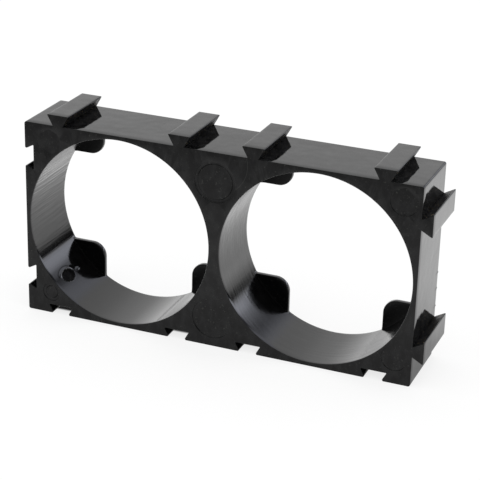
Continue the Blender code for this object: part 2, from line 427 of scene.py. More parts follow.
@dataclass(frozen=True)
class StopEars:
    """The four thin ears at the back of a bore, on its diagonals, that stop the cell.

    The shifts say how far each ear is moved along X and Z from an even cross, from the upper right
    one anticlockwise. Where an ear runs out at the wall, its rounded edges keep to room_share of
    the room that is left.
    """

    thickness: float = 0.75 * MM
    reach: float = 3.45 * MM
    corner_radius: float = 2.45 * MM
    root_radius: float = 0.4 * MM
    edge_radius: float = 0.2 * MM
    heel_radius: float = 0.02 * MM
    back_radius: float = 0.06 * MM
    room_share: float = 0.4
    flat_margin: float = 0.02 * MM
    flat_tilt: float = 0.9
    shifts: Profile = (
        (0.0, 0.2 * MM),
        (0.0, 0.2 * MM),
        (0.15 * MM, 0.35 * MM),
        (0.1 * MM, 0.15 * MM),
    )
    root_steps: int = 6
    side_steps: int = 14
    corner_steps: int = 18
    open_steps: int = 48
    edge_steps: int = 4
    face_steps: int = 5

    def root(self, seat: CellSeat, gap: float) -> Outline:
        """Draw the fillet where an ear's edge meets the wall.

        Args:
            seat: The seat that the ear stands in.
            gap: How far the edge lies from the bore's axis.

        Returns:
            The fillet's points, from the wall to the edge, for an edge along X.
        """
        side = gap - self.root_radius
        reach = math.sqrt((seat.open_radius - self.root_radius) ** 2 - side ** 2)
        centre, wall_angle = Vector((reach, side)), math.atan2(side, reach)
        return arc(centre, self.root_radius, wall_angle, RIGHT_ANGLE, self.root_steps)

    def outline(self, seat: CellSeat, shift: Vector) -> Outline:
        """Draw one ear's edge, in the first quarter about the bore's axis.

        Args:
            seat: The seat that the ear stands in.
            shift: How far its two edges lie further out than those of an even cross.

        Returns:
            The points from the wall below the ear to the wall beside it.
        """
        even = (seat.radius - self.reach) / math.sqrt(2) - self.corner_radius * (1 - math.sqrt(0.5))
        inner = Vector((even, even)) + shift
        lower = self.root(seat, inner.y)
        upper = [Vector((point.y, point.x)) for point in reversed(self.root(seat, inner.x))]
        corner = inner + Vector((self.corner_radius, self.corner_radius))
        tip = arc(corner, self.corner_radius, -RIGHT_ANGLE, -math.pi, self.corner_steps)
        return [
            *lower,
            *straight(lower[-1], tip[0], self.side_steps),
            *tip,
            *straight(tip[-1], upper[0], self.side_steps),
            *upper,
        ]

    def wall_angles(self, ear: Outline) -> list[float]:
        """Spread an ear's points along the wall.

        Args:
            ear: The ear's outline.

        Returns:
            The angle at the wall for each of its points.
        """
        roots = self.root_steps + 1
        angles = [math.atan2(point.y, point.x) for point in ear]
        low, high = angles[roots - 1], angles[-roots]
        between = len(ear) - roots * 2
        for step in range(between):
            angles[roots + step] = low + (high - low) * (step + 1) / (between + 1)
        return angles

    def round_the_bore(self, seat: CellSeat) -> tuple[Outline, list[float]]:
        """Draw the opening that the ears leave.

        Args:
            seat: The seat that the ears stand in.

        Returns:
            The opening's closed outline about the bore's axis, and each point's angle at the wall.
        """
        ears: list[Outline] = []
        spans: list[list[float]] = []
        for quarter, shift in enumerate(self.shifts):
            turn = RIGHT_ANGLE * quarter
            swing = Matrix.Rotation(turn, 2)
            ear = self.outline(seat, swing.inverted() @ Vector(shift))
            ears.append([swing @ point for point in ear])
            spans.append([angle + turn for angle in self.wall_angles(ear)])
        next_starts = [span[0] for span in spans[1:]] + [spans[0][0] + math.tau]
        outline: Outline = []
        around: list[float] = []
        for ear, span, next_start in zip(ears, spans, next_starts):
            step = (next_start - span[-1]) / self.open_steps
            free = [span[-1] + step * index for index in range(1, self.open_steps)]
            outline += [*ear, *(polar(angle, seat.open_radius) for angle in free)]
            around += [*span, *free]
        return outline, around


@dataclass(frozen=True)
class GateScar:
    """The oval dimple that the runner left in the left bore's wall, and a torn ridge behind it.

    A share is how far out a place in the oval lies, with 1 at its edge, and each slope, rise and
    fall runs between two shares. The lip stands only on the side that lip_side gives. The skin is
    torn, and made near black as painted shade of the dimple, out to dark_share.
    """

    length: float = 3.7 * MM
    width: float = 2.2 * MM
    depth: float = 0.35 * MM
    setback: float = 4.3 * MM
    angle: float = math.radians(225)
    lip_height: float = 0.12 * MM
    ridge_length: float = 3.0 * MM
    ridge_width: float = 0.9 * MM
    ridge_height: float = 0.13 * MM
    ridge_setback: float = 3.9 * MM
    row_spacing: float = 0.15 * MM
    row_reach: Pair = (0.75, 0.6)
    slope: Pair = (0.65, 1.0)
    lip_rise: Pair = (0.95, 1.12)
    lip_fall: Pair = (1.12, 1.6)
    lip_side: Pair = (0.3, 0.9)
    ridge_slope: Pair = (0.1, 1.0)
    dark_share: float = 1.04
    dark_depths: float = 1.5

    def share(self, around: float, behind: float) -> float:
        """Return how far out a place in the oval is: 0 at its middle and 1 at its edge."""
        return math.hypot(around * 2 / self.width, behind * 2 / self.length)

    def relief(self, around: float, behind: float) -> float:
        """Work out how far the scar moves the wall outwards.

        Args:
            around: The distance from its middle round the bore.
            behind: The distance from its middle along the bore.

        Returns:
            The movement, below 0 on its raised lip and on the ridge.
        """
        share = self.share(around, behind)
        sunk = self.depth * (1 - smooth_step(*self.slope, share))
        lip = smooth_step(*self.lip_rise, share) * (1 - smooth_step(*self.lip_fall, share))
        lip *= smooth_step(*self.lip_side, -around * 2 / self.width)
        along = (behind - self.ridge_setback) * 2 / self.ridge_length
        ridge_share = math.hypot(around * 2 / self.ridge_width, along)
        ridge = 1 - smooth_step(*self.ridge_slope, ridge_share)
        return sunk - self.lip_height * lip - self.ridge_height * ridge

    def rows(self, front: float) -> Pair:
        """Return the depths between which the bore needs close rows."""
        middle, (before, after) = front + self.setback, self.row_reach
        last = middle + self.ridge_setback + self.ridge_length * after
        return middle - self.length * before, last


@dataclass(frozen=True)
class PinMark:
    """One round mark that an ejector pin left in the front face."""

    centre: Vector
    radius: float
    depth: float
    ring_inset: float = 0.0


@dataclass(frozen=True)
class EjectorMarks:
    """The six shallow round marks in the front face.

    The groove's form has four points, each a distance from its middle and a depth, which the
    groove's size multiplies.
    """

    depth: float = 0.16 * MM
    faint_depth: float = 0.05 * MM
    corner_radius: float = 2.15 * MM
    wide_radius: float = 2.3 * MM
    small_radius: float = 1.6 * MM
    corner_inset: float = 2.9 * MM
    small_lift: float = 1.0 * MM
    web_radius: float = 3.5 * MM
    web_inset: float = 5.0 * MM
    ring_inset: float = 0.5 * MM
    groove: float = 0.06 * MM
    groove_form: Profile = ((1.2, 0.0), (0.4, 1.0), (-0.4, 1.0), (-1.2, 0.0))
    edge_radius: float = 0.06 * MM
    edge_steps: int = 3
    steps: int = 72

    def marks(self, seat: CellSeat, slot_depth: float) -> list[PinMark]:
        """Set out the marks.

        Args:
            seat: The seats, which set the block's size.
            slot_depth: How much further in a mark stands beside a slotted side.

        Returns:
            The four corner marks and the web's two.
        """
        half, side = seat.length / 2, seat.block_side
        left, right = self.corner_inset + slot_depth - half, half - self.corner_inset
        low, high = self.corner_inset + slot_depth, side - self.corner_inset
        small = Vector((left, self.corner_inset + self.small_lift))
        lower_web, upper_web = Vector((0, self.web_inset)), Vector((0, side - self.web_inset))
        return [
            PinMark(Vector((left, high)), self.corner_radius, self.faint_depth),
            PinMark(small, self.small_radius, self.depth, self.ring_inset),
            PinMark(Vector((right, high)), self.wide_radius, self.depth),
            PinMark(Vector((right, low)), self.corner_radius, self.depth),
            PinMark(lower_web, self.web_radius, self.depth),
            PinMark(upper_web, self.web_radius, self.depth, self.ring_inset),
        ]

    def profile(self, mark: PinMark) -> list[Pair]:
        """Work out a mark's form from its rim to its floor.

        Args:
            mark: The mark.

        Returns:
            For each ring, its radius and how far it is sunk.
        """
        edge = edge_round(min(self.edge_radius, mark.depth / 2), self.edge_steps)
        rings = [(mark.radius + out, sunk) for out, sunk in edge]
        rings += [(mark.radius - out, mark.depth - sunk) for out, sunk in reversed(edge)]
        if mark.ring_inset > 0:
            middle = mark.radius - mark.ring_inset
            for out, sunk in self.groove_form:
                rings.append((middle + self.groove * out, mark.depth + self.groove * sunk))
        return rings


@dataclass(frozen=True)
class FlashSpecks:
    """The specks of flash that stand out of the right side's back edge.

    Only points nearer than catch to the right side are moved.
    """

    heights: tuple[float, ...] = (9.05 * MM, 12.2 * MM, 15.0 * MM)
    width: float = 0.34 * MM
    proud: float = 0.11 * MM
    reach: float = 0.3 * MM
    row_spacing: float = 0.1 * MM
    catch: float = 0.15 * MM

    def corners(self, x: float) -> list[Corner]:
        """Return plain points on the right side that let the specks stand out."""
        shares = (-1, -0.5, 0, 0.5, 1)
        return [
            (Vector((x, height + self.width / 2 * share)), 0.0)
            for height in self.heights
            for share in shares
        ]

    def swell(self, height: float, from_back: float) -> float:
        """Work out how far a speck stands out.

        Args:
            height: The point's height.
            from_back: Its distance from the back face.

        Returns:
            The distance out of the right side.
        """
        nearest = min(abs(height - speck) for speck in self.heights)
        across = max(1 - nearest * 2 / self.width, 0.0)
        return self.proud * across * max(1 - from_back / self.reach, 0.0)


class NodeBench:
    """Adds nodes to one tree and wires them."""

    MIX_INPUTS = (0, 6, 7)
    MIX_RESULT = 2

    def __init__(self, tree: bpy.types.NodeTree) -> None:
        """Take the node tree of a material or of the world."""
        self.tree = tree

    def feed(self, socket: Socket, value: Value) -> None:
        """Give an input a value, or wire an output to it.

        Args:
            socket: The input.
            value: A number, a vector, a colour or an output.
        """
        if isinstance(value, Socket):
            self.tree.links.new(value, socket)
        else:
            socket.default_value = value

    def add(self, kind: str, inputs: dict[str | int, Value], **settings: str) -> bpy.types.Node:
        """Add a node.

        Args:
            kind: The node's type, without its leading ShaderNode.
            inputs: Values for its inputs, by name or number.
            **settings: Values for its properties, by name.

        Returns:
            The node.
        """
        node = self.tree.nodes.new("ShaderNode" + kind)
        for name, setting in settings.items():
            setattr(node, name, setting)
        for name, value in inputs.items():
            self.feed(node.inputs[name], value)
        return node

    def calc(self, operation: str, *values: Value) -> Socket:
        """Return the result of a Math node's operation on one or two values."""
        return self.add("Math", dict(enumerate(values)), operation=operation).outputs[0]

    def product(self, *factors: Value) -> Socket:
        """Return the product of some values."""
        return reduce(partial(self.calc, "MULTIPLY"), factors)

    def ease(
        self, value: Value, low: float, high: float, start: float = 0.0, end: float = 1.0
    ) -> Socket:
        """Return a smooth step from start to end, as a value goes from low to high."""
        inputs = dict(enumerate((value, low, high, start, end)))
        return self.add("MapRange", inputs, interpolation_type="SMOOTHSTEP").outputs[0]

    def band(self, value: Value, rise: Pair, fall: Pair) -> Socket:
        """Return a share that rises over one span of a value and falls over another."""
        return self.product(self.ease(value, *rise), self.ease(value, *reversed(fall)))

    def blend(self, share: Value, first: Value, second: Value) -> Socket:
        """Return the mix of two colours, by the second one's share."""
        inputs = dict(zip(self.MIX_INPUTS, (share, first, second)))
        return self.add("Mix", inputs, data_type="RGBA").outputs[self.MIX_RESULT]

    def profile(self, value: Value, stops: Sequence[Pair]) -> Socket:
        """Read a broken line at a value.

        Args:
            value: Where the line is read.
            stops: The line's points, each a value and a result, in the order of their values.

        Returns:
            The result's output.
        """
        first, last = stops[0][0], stops[-1][0]
        peak = max(level for _, level in stops)
        share = self.add("MapRange", {0: value, 1: first, 2: last}).outputs[0]
        node = self.add("ValToRGB", {"Fac": share})
        points = node.color_ramp.elements
        while len(points) < len(stops):
            points.new(0.5)
        for point, (at, level) in zip(points, stops):
            point.position = (at - first) / (last - first)
            point.color = (*(level / peak,) * 3, 1)
        return self.product(node.outputs["Color"], peak)

    def tinted(self, colour: Value, tint: Value) -> Socket:
        """Return the product of two colours."""
        return self.add("VectorMath", {0: colour, 1: tint}, operation="MULTIPLY").outputs[0]

    def axes(self, source: str) -> tuple[Socket, Socket, Socket]:
        """Return a texture coordinate's X, Y and Z."""
        place = self.add("TexCoord", {}).outputs[source]
        return tuple(self.add("SeparateXYZ", {"Vector": place}).outputs)

    def azimuth(self, along: Value, behind: Value) -> Socket:
        """Return an azimuth in degrees, which is 0 along +Y and grows towards +X."""
        return self.calc("DEGREES", self.calc("ARCTAN2", along, behind))

    def noise(self, place: Value, scale: Scale, detail: float) -> Socket:
        """Add a noise in space.

        Args:
            place: The output that gives the place.
            scale: How many features it has in each metre, along each axis.
            detail: How many finer octaves it has.

        Returns:
            The noise's output.
        """
        stretched = self.add("Mapping", {"Vector": place, "Scale": scale}).outputs["Vector"]
        inputs = {"Vector": stretched, "Scale": 1.0, "Detail": detail, "Roughness": NOISE_FADE}
        return self.add("TexNoise", inputs).outputs[0]


@dataclass(frozen=True)
class ArcScratch:
    """A faint pale scratch in the front face, along an arc."""

    centre_x: float = 0.235 * MM
    centre_z: float = 32.36 * MM
    radius: float = 5.27 * MM
    half_width: float = 0.09 * MM
    lower_end: Pair = (28.0 * MM, 28.6 * MM)
    upper_end: Pair = (0.0, 1.32 * MM)
    depth_fade: Pair = (-6.0 * MM, -6.1 * MM)
    strength: float = 0.6

    def share(self, bench: NodeBench) -> Socket:
        """Work out how strongly the scratch shows at a place.

        Args:
            bench: The material's nodes.

        Returns:
            The share's output.
        """
        x, depth, z = bench.axes("Object")
        across = bench.calc("SUBTRACT", x, self.centre_x)
        upwards = bench.calc("SUBTRACT", z, self.centre_z)
        squares = bench.calc("ADD", bench.product(across, across), bench.product(upwards, upwards))
        off = bench.calc("SUBTRACT", bench.calc("SQRT", squares), self.radius)
        line = bench.ease(bench.calc("ABSOLUTE", off), self.half_width, 0.0, 0.0, self.strength)
        lower, upper = bench.ease(z, *self.lower_end), bench.ease(across, *self.upper_end)
        return bench.product(line, lower, upper, bench.ease(depth, *self.depth_fade))


@dataclass(frozen=True)
class PlasticFinish:
    """Glossy black moulding plastic, with the surface that one part of the mould gave it.

    A scale counts features in each metre, along each axis. The grain is the fine relief and the
    swell the broad one, and swell_fade gives the heights over which the swell sets in. Satin is
    added roughness by height. A span gives the noise values between which a share grows.
    """

    name: str
    colour: Colour
    worn_colour: Colour
    ior: float
    roughness: float
    rough_spread: float
    grain_scale: Scale
    grain_depth: float
    swell_scale: Scale
    swell_depth: float
    mottle_scale: Scale = (650.0, 650.0, 380.0)
    satin: Profile = ()
    swell_fade: Pair | None = None
    grain_detail: float = 4.0
    swell_detail: float = 2.0
    mottle_detail: float = 3.0
    wear_span: Pair = (0.38, 0.66)
    polish_span: Pair = (0.3, 0.7)
    flecks: float = 0.0
    fleck_span: Pair = (0.8, 0.84)
    fleck_scale: Scale = (2600.0, 2600.0, 2600.0)
    fleck_detail: float = 1.0
    speck_and_sparkle_colour: Colour = (0.2, 0.17, 0.12)
    scratch: ArcScratch | None = None
    scratch_colour: Colour = (0.04, 0.04, 0.038)

    def material(self) -> bpy.types.Material:
        """Make the material."""
        material = bpy.data.materials.new(self.name)
        material.use_nodes = True
        bench = NodeBench(material.node_tree)
        shader = material.node_tree.nodes["Principled BSDF"].inputs
        place = bench.add("TexCoord", {}).outputs["Object"]
        height = bench.add("SeparateXYZ", {"Vector": place}).outputs["Z"]
        grain = bench.noise(place, self.grain_scale, self.grain_detail)
        swell = bench.noise(place, self.swell_scale, self.swell_detail)
        mottle = bench.noise(place, self.mottle_scale, self.mottle_detail)
        wear = bench.ease(mottle, *self.wear_span)
        tint = bench.blend(wear, (*self.colour, 1), (*self.worn_colour, 1))
        # Flecks: specks; the undercut's yellowish ones are painted sparkle highlights.
        if self.flecks > 0:
            speckle = bench.noise(place, self.fleck_scale, self.fleck_detail)
            fleck = bench.ease(speckle, *(limit - self.flecks for limit in self.fleck_span))
            tint = bench.blend(fleck, tint, (*self.speck_and_sparkle_colour, 1))
        if self.scratch:
            tint = bench.blend(self.scratch.share(bench), tint, (*self.scratch_colour, 1))
        low, high = self.roughness - self.rough_spread, self.roughness + self.rough_spread
        polish = bench.ease(grain, *self.polish_span, low, high)
        if self.satin:
            polish = bench.calc("ADD", polish, bench.profile(height, self.satin))
        if self.swell_fade:
            swell = bench.product(swell, bench.ease(height, *self.swell_fade))
        broad = bench.add("Bump", {"Height": swell, "Distance": self.swell_depth}).outputs["Normal"]
        fine = bench.add("Bump", {"Height": grain, "Distance": self.grain_depth, "Normal": broad})
        bench.feed(shader["Base Color"], tint)
        bench.feed(shader["Roughness"], polish)
        bench.feed(shader["Normal"], fine.outputs["Normal"])
        bench.feed(shader["IOR"], self.ior)
        return material


MOULDED_SKIN = PlasticFinish(
    name="moulded_skin",
    colour=(0.0002, 0.0002, 0.0003),
    worn_colour=(0.0095, 0.0095, 0.0099),
    ior=1.36,
    roughness=0.06,
    rough_spread=0.02,
    grain_scale=(1100.0, 1100.0, 1100.0),
    grain_depth=0.0015 * MM,
    swell_scale=(170.0, 170.0, 170.0),
    swell_depth=0.05 * MM,
    flecks=0.125,
    speck_and_sparkle_colour=(0.03, 0.03, 0.028),
)
LEFT_BORE = PlasticFinish(
    name="left_bore",
    colour=(0.0018, 0.0018, 0.002),
    worn_colour=(0.004, 0.004, 0.0042),
    ior=1.5,
    roughness=0.09,
    rough_spread=0.03,
    grain_scale=(1500.0, 60.0, 1500.0),
    grain_depth=0.006 * MM,
    swell_scale=(1200.0, 70.0, 1200.0),
    swell_depth=0.15 * MM,
    satin=((0.0, 0.03), (5.0 * MM, 0.0), (20.0 * MM, 0.0), (27.0 * MM, 0.25)),
    swell_fade=(8.0 * MM, 19.0 * MM),
)
RIGHT_BORE = replace(
    LEFT_BORE,
    name="right_bore",
    rough_spread=0.05,
    grain_scale=(120.0, 1400.0, 120.0),
    grain_depth=0.02 * MM,
    swell_scale=(380.0, 380.0, 380.0),
    swell_depth=0.06 * MM,
    satin=(
        (0.0, 0.03), (2.0 * MM, 0.03), (3.5 * MM, 0.05), (7.5 * MM, 0.05), (9.5 * MM, 0.0),
        (20.0 * MM, 0.0), (27.0 * MM, 0.25),
    ),
)
PIN_FLOOR = replace(
    MOULDED_SKIN,
    name="pin_floor",
    roughness=0.08,
    rough_spread=0.03,
    grain_scale=(1500.0, 1500.0, 1500.0),
    swell_scale=(300.0, 300.0, 300.0),
    swell_depth=0.02 * MM,
)
# The ears' stop faces: a duller, less reflective copy of the skin, which paints the shade they sit
# in.
SHADED_EAR_SIDE = replace(
    MOULDED_SKIN,
    name="shaded_ear_side",
    colour=(0.0012, 0.0012, 0.0013),
    worn_colour=(0.0016, 0.0016, 0.0018),
    ior=1.27,
    roughness=0.3,
    flecks=0.14,
    speck_and_sparkle_colour=(0.02, 0.02, 0.02),
)
# Tail flanks: dull, with yellowish flecks that are painted sparkle highlights.
UNDERCUT = replace(
    MOULDED_SKIN,
    name="undercut",
    ior=1.3,
    roughness=0.5,
    rough_spread=0.1,
    flecks=0.16,
    speck_and_sparkle_colour=(0.12, 0.1, 0.06),
)
# Torn skin in the gate's dimple, made near black by a low IOR as painted shade of the recess.
TORN_SHADED_GATE = replace(
    MOULDED_SKIN,
    name="torn_shaded_gate",
    colour=(0.001, 0.001, 0.001),
    worn_colour=(0.004, 0.004, 0.004),
    ior=1.12,
    roughness=0.5,
    grain_depth=0.01 * MM,
)
FINISHES = {
    Region.SKIN: replace(MOULDED_SKIN, scratch=ArcScratch()),
    Region.LEFT_BORE: LEFT_BORE,
    Region.RIGHT_BORE: RIGHT_BORE,
    Region.PIN_MARK: PIN_FLOOR,
    Region.EAR_FACE: SHADED_EAR_SIDE,
    Region.UNDERCUT: UNDERCUT,
    Region.GATE: TORN_SHADED_GATE,
}


@dataclass
class CellBracket:
    """The moulding: block, bores, ears, tails, slots and mould marks in one skin.

    Front and back are the depths of its faces.
    """

    front: float
    back: float
    seat: CellSeat = CellSeat()
    dovetail: Dovetail = Dovetail()
    ears: StopEars = StopEars()
    gate: GateScar = GateScar()
    pins: EjectorMarks = EjectorMarks()
    flash: FlashSpecks = FlashSpecks()
    corner_radius: float = 0.35 * MM
    edge_radius: float = 0.1 * MM
    arc_steps: int = 8
    edge_steps: int = 4
    side_spacing: float = 0.35 * MM
    row_spacing: float = 1.2 * MM
    sharp_angle: float = math.radians(38)

    @property
    def join_gap(self) -> float:
        """How far two joined brackets stand apart."""
        return self.seat.pitch - self.seat.block_side

    @property
    def ear_face(self) -> float:
        """The depth at which the cell stops."""
        return self.back - self.ears.thickness

    def block_outline(self) -> Outline:
        """Draw the bracket's outline from its lower left corner, with its tails and slots."""
        side, half = self.seat.block_side, self.seat.length / 2
        reach = side / 2 - self.dovetail.inset
        right, up = Vector((1, 0)), Vector((0, 1))
        across = [centre.x + step for centre in self.seat.centres() for step in (-reach, reach)]
        upwards = [side / 2 - reach, side / 2 + reach]
        lower, upper = (self.dovetail.tail(up, right, Vector((half, z))) for z in upwards)
        corners = [(Vector((-half, 0)), self.corner_radius)]
        for x in across:
            corners += self.dovetail.slot(right, -up, Vector((x, 0)), self.join_gap)
        corners.append((Vector((half, 0)), self.corner_radius))
        corners += [*lower, *self.flash.corners(half), *upper]
        corners.append((Vector((half, side)), self.corner_radius))
        for x in reversed(across):
            corners += self.dovetail.tail(-right, up, Vector((x, side)))
        corners.append((Vector((-half, side)), self.corner_radius))
        for z in reversed(upwards):
            corners += self.dovetail.slot(-up, -right, Vector((-half, z)), self.join_gap)
        return subdivided(rounded(corners, self.arc_steps), self.side_spacing)

    def side_rings(self) -> list[Ring]:
        """Draw the outer side's rings, from the front face's rim to the back face's rim."""
        outline = self.block_outline()
        edge = edge_round(self.edge_radius, self.edge_steps)
        rows = [(inset, self.front + under) for inset, under in edge]
        near, far = self.front + self.edge_radius, self.back - self.flash.reach
        rows += [(0.0, depth) for depth in spread(near, far, self.row_spacing)[1:]]
        last, spacing = self.back - self.edge_radius, self.flash.row_spacing
        rows += [(0.0, depth) for depth in spread(far, last, spacing)[1:]]
        rows += [(inset, self.back - under) for inset, under in reversed(edge[:-1])]
        rings = []
        for inset, depth in rows:
            ring = at_depth(moved_in(outline, [inset] * len(outline)), depth)
            for point in ring:
                if abs(point.x - self.seat.length / 2) < self.flash.catch:
                    point.x += self.flash.swell(point.z, self.back - depth)
            rings.append(ring)
        return rings

    def wall_radius(self, depth: float) -> float:
        """Return the drafted radius of a bore at a depth in front of its ears."""
        share = (depth - self.front) / (self.ear_face - self.front)
        return self.seat.mouth_radius + (self.seat.radius - self.seat.mouth_radius) * share

    def wall_rows(self, scarred: bool) -> list[float]:
        """Spread a bore's rows in depth.

        Args:
            scarred: Whether the gate's scar is in this bore, and needs closer rows.

        Returns:
            The depths from behind the mouth's edge to the parting step.
        """
        start = self.front + self.seat.mouth_edge
        end = self.ear_face - self.seat.parting_lead
        if not scarred:
            return spread(start, end, self.row_spacing / 2)
        low, high = self.gate.rows(self.front)
        return [
            *spread(start, low, self.row_spacing / 2),
            *spread(low, high, self.gate.row_spacing)[1:],
            *spread(high, end, self.row_spacing / 2)[1:],
        ]

    def wall_rings(self, around: Sequence[float], scarred: bool) -> list[Ring]:
        """Draw a bore's drafted wall, from the front face's rim to the parting step.

        Args:
            around: The angle of each of a ring's points.
            scarred: Whether the gate's scar is in this bore.

        Returns:
            The rings about the bore's axis.
        """
        rings = []
        for out, under in edge_round(self.seat.mouth_edge, self.edge_steps):
            depth = self.front + under
            radius = self.wall_radius(depth) + out
            rings.append(at_depth([polar(angle, radius) for angle in around], depth))
        for depth in self.wall_rows(scarred)[1:]:
            radius = self.wall_radius(depth)
            behind = depth - self.front - self.gate.setback
            wall = []
            for angle in around:
                relief = 0.0
                if scarred:
                    relief = self.gate.relief((angle - self.gate.angle) * radius, behind)
                wall.append(polar(angle, radius + relief))
            rings.append(at_depth(wall, depth))
        return rings

    def ear_rings(self, opening: Outline, around: Sequence[float]) -> list[Ring]:
        """Draw a bore's ears and what lies between them, from the parting step to the back's rim.

        Args:
            opening: The outline that the ears leave open.
            around: The angle at the wall of each of its points.

        Returns:
            The rings about the bore's axis.
        """
        seat, ears, face = self.seat, self.ears, self.ear_face
        heel = [
            edge if edge.length >= seat.radius else polar(angle, seat.radius)
            for edge, angle in zip(opening, around)
        ]
        rooms = [(foot - edge).length * ears.room_share for foot, edge in zip(heel, opening)]
        heel_radii = [min(ears.heel_radius, room) for room in rooms]
        edge_radii = [min(ears.edge_radius, room) for room in rooms]

        def pulled_in(share: float) -> Outline:
            """Move the heel inwards by a share of its radii."""
            moves = [foot.normalized() * radius * share for foot, radius in zip(heel, heel_radii)]
            return [foot - move for foot, move in zip(heel, moves)]

        parted = face - seat.parting_lead + seat.parting_slant
        rings = [at_depth(heel, depth) for depth in (parted, face - ears.heel_radius)]
        sweep = [RIGHT_ANGLE * step / ears.edge_steps for step in range(ears.edge_steps + 1)]
        for turn in sweep:
            depths = [face - radius * (1 - math.sin(turn)) for radius in heel_radii]
            rings.append(at_depths(pulled_in(1 - math.cos(turn)), depths))
        outer, inner = pulled_in(1.0), moved_in(opening, [-radius for radius in edge_radii])
        for step in range(1, ears.face_steps + 1):
            share = step / ears.face_steps
            rings.append(at_depth([a.lerp(b, share) for a, b in zip(outer, inner)], face))
        for turn in sweep[1:]:
            out = [-radius * (1 - math.sin(turn)) for radius in edge_radii]
            depths = [face + radius * (1 - math.cos(turn)) for radius in edge_radii]
            rings.append(at_depths(moved_in(opening, out), depths))
        rings += [at_depth(opening, face + ears.edge_radius)]
        rings += [at_depth(opening, (face + self.back) / 2)]
        for out, under in reversed(edge_round(ears.back_radius, self.edge_steps - 1)):
            rings.append(at_depth(moved_in(opening, [-out] * len(opening)), self.back - under))
        return rings

    def bore_rings(self, centre: Vector, scarred: bool) -> list[Ring]:
        """Draw a bore's rings, from the front face's rim to the back face's rim.

        Args:
            centre: The bore's centre.
            scarred: Whether the gate's scar is in this bore.

        Returns:
            The rings.
        """
        opening, around = self.ears.round_the_bore(self.seat)
        rings = [*self.wall_rings(around, scarred), *self.ear_rings(opening, around)]
        axis = Vector((centre.x, 0, centre.y))
        return [[point + axis for point in ring] for ring in rings]

    def mark_rings(self, mark: PinMark) -> list[Ring]:
        """Draw an ejector mark's rings, from the front face down to its floor."""
        spokes = [polar(math.tau * step / self.pins.steps, 1.0) for step in range(self.pins.steps)]
        return [
            at_depth([mark.centre + spoke * radius for spoke in spokes], self.front + sunk)
            for radius, sunk in self.pins.profile(mark)
        ]

    def in_the_gate(self, face: Face) -> bool:
        """Return whether a face of the left bore's wall lies in the gate's oval."""
        middle = face.calc_center_median()
        spoke = Vector((middle.x, middle.z)) - self.seat.centres()[0]
        around = (math.atan2(spoke.y, spoke.x) % math.tau - self.gate.angle) * spoke.length
        off_wall = abs(spoke.length - self.seat.radius)
        share = self.gate.share(around, middle.y - self.front - self.gate.setback)
        near_wall = off_wall < self.gate.depth * self.gate.dark_depths
        return near_wall and share < self.gate.dark_share

    def on_an_ear(self, face: Face) -> bool:
        """Return whether a face lies flat on the side of an ear that stops the cell."""
        off_face = abs(face.calc_center_median().y - self.ear_face)
        return off_face < self.ears.flat_margin and face.normal.y < -self.ears.flat_tilt

    def under_a_tail(self, face: Face) -> bool:
        """Return whether a face is one of a tail's flanks."""
        middle, tilt = face.calc_center_median(), self.dovetail.flank_tilt
        on_top = middle.z > self.seat.block_side and face.normal.z < -tilt
        on_right = middle.x > self.seat.length / 2 and face.normal.x < -tilt
        return on_top or on_right

    def build(self) -> bpy.types.Object:
        """Sew the moulding's skin and dress it."""
        skin = SkinMesh("moulded_bracket")
        rim, back_rim = skin.sleeve(self.side_rings(), Region.SKIN)
        front_rims, back_rims = [rim], [back_rim]
        for index, centre in enumerate(self.seat.centres()):
            rings = self.bore_rings(centre, index == 0)
            mouth, far_end = skin.sleeve(rings, BORE_REGIONS[index])
            front_rims.append(mouth)
            back_rims.append(far_end)
        for mark in self.pins.marks(self.seat, self.dovetail.slot_depth(self.join_gap)):
            edge, floor = skin.sleeve(self.mark_rings(mark), Region.PIN_MARK)
            front_rims.append(edge)
            skin.cap([floor], -BACKWARDS, Region.PIN_MARK)
        skin.cap(front_rims, -BACKWARDS, Region.SKIN)
        skin.cap(back_rims, BACKWARDS, Region.SKIN)
        skin.weld()
        skin.repaint(Region.EAR_FACE, self.on_an_ear)
        skin.repaint(Region.UNDERCUT, self.under_a_tail)
        skin.repaint(Region.GATE, self.in_the_gate)
        return skin.piece([FINISHES[region].material() for region in Region], self.sharp_angle)


@dataclass(frozen=True)
class PhotoCamera:
    """The camera at the photograph's viewing angle."""

    azimuth: float = 0.377754
    elevation: float = 0.402818
    roll: float = 0.027639
    distance: float = 267.352 * MM
    aim: tuple[float, float, float] = (3.659 * MM, -3.881 * MM, 18.787 * MM)
    focal_pixels: float = 1659.754
    frame_pixels: float = 480.0
    sensor: float = 36.0
    nearest: float = 10 * MM

    def stand(self) -> bpy.types.Object:
        """Stand the camera and make it the scene's own."""
        swing, rise, roll = self.azimuth, self.elevation, self.roll
        flat = math.cos(rise)
        back = Vector((math.sin(swing) * flat, -math.cos(swing) * flat, math.sin(rise)))
        level_right = Vector((math.cos(swing), math.sin(swing), 0))
        level_up = back.cross(level_right)
        right = level_right * math.cos(roll) + level_up * math.sin(roll)
        up = level_up * math.cos(roll) - level_right * math.sin(roll)
        lens = bpy.data.cameras.new("photo_camera")
        lens.sensor_fit = "HORIZONTAL"
        lens.sensor_width = self.sensor
        lens.lens = self.focal_pixels / self.frame_pixels * self.sensor
        lens.clip_start = self.nearest
        camera = placed("photo_camera", lens)
        place = Matrix.Translation(Vector(self.aim) + back * self.distance)
        camera.matrix_world = place @ Matrix((right, up, back)).transposed().to_4x4()
        bpy.context.scene.camera = camera
        return camera


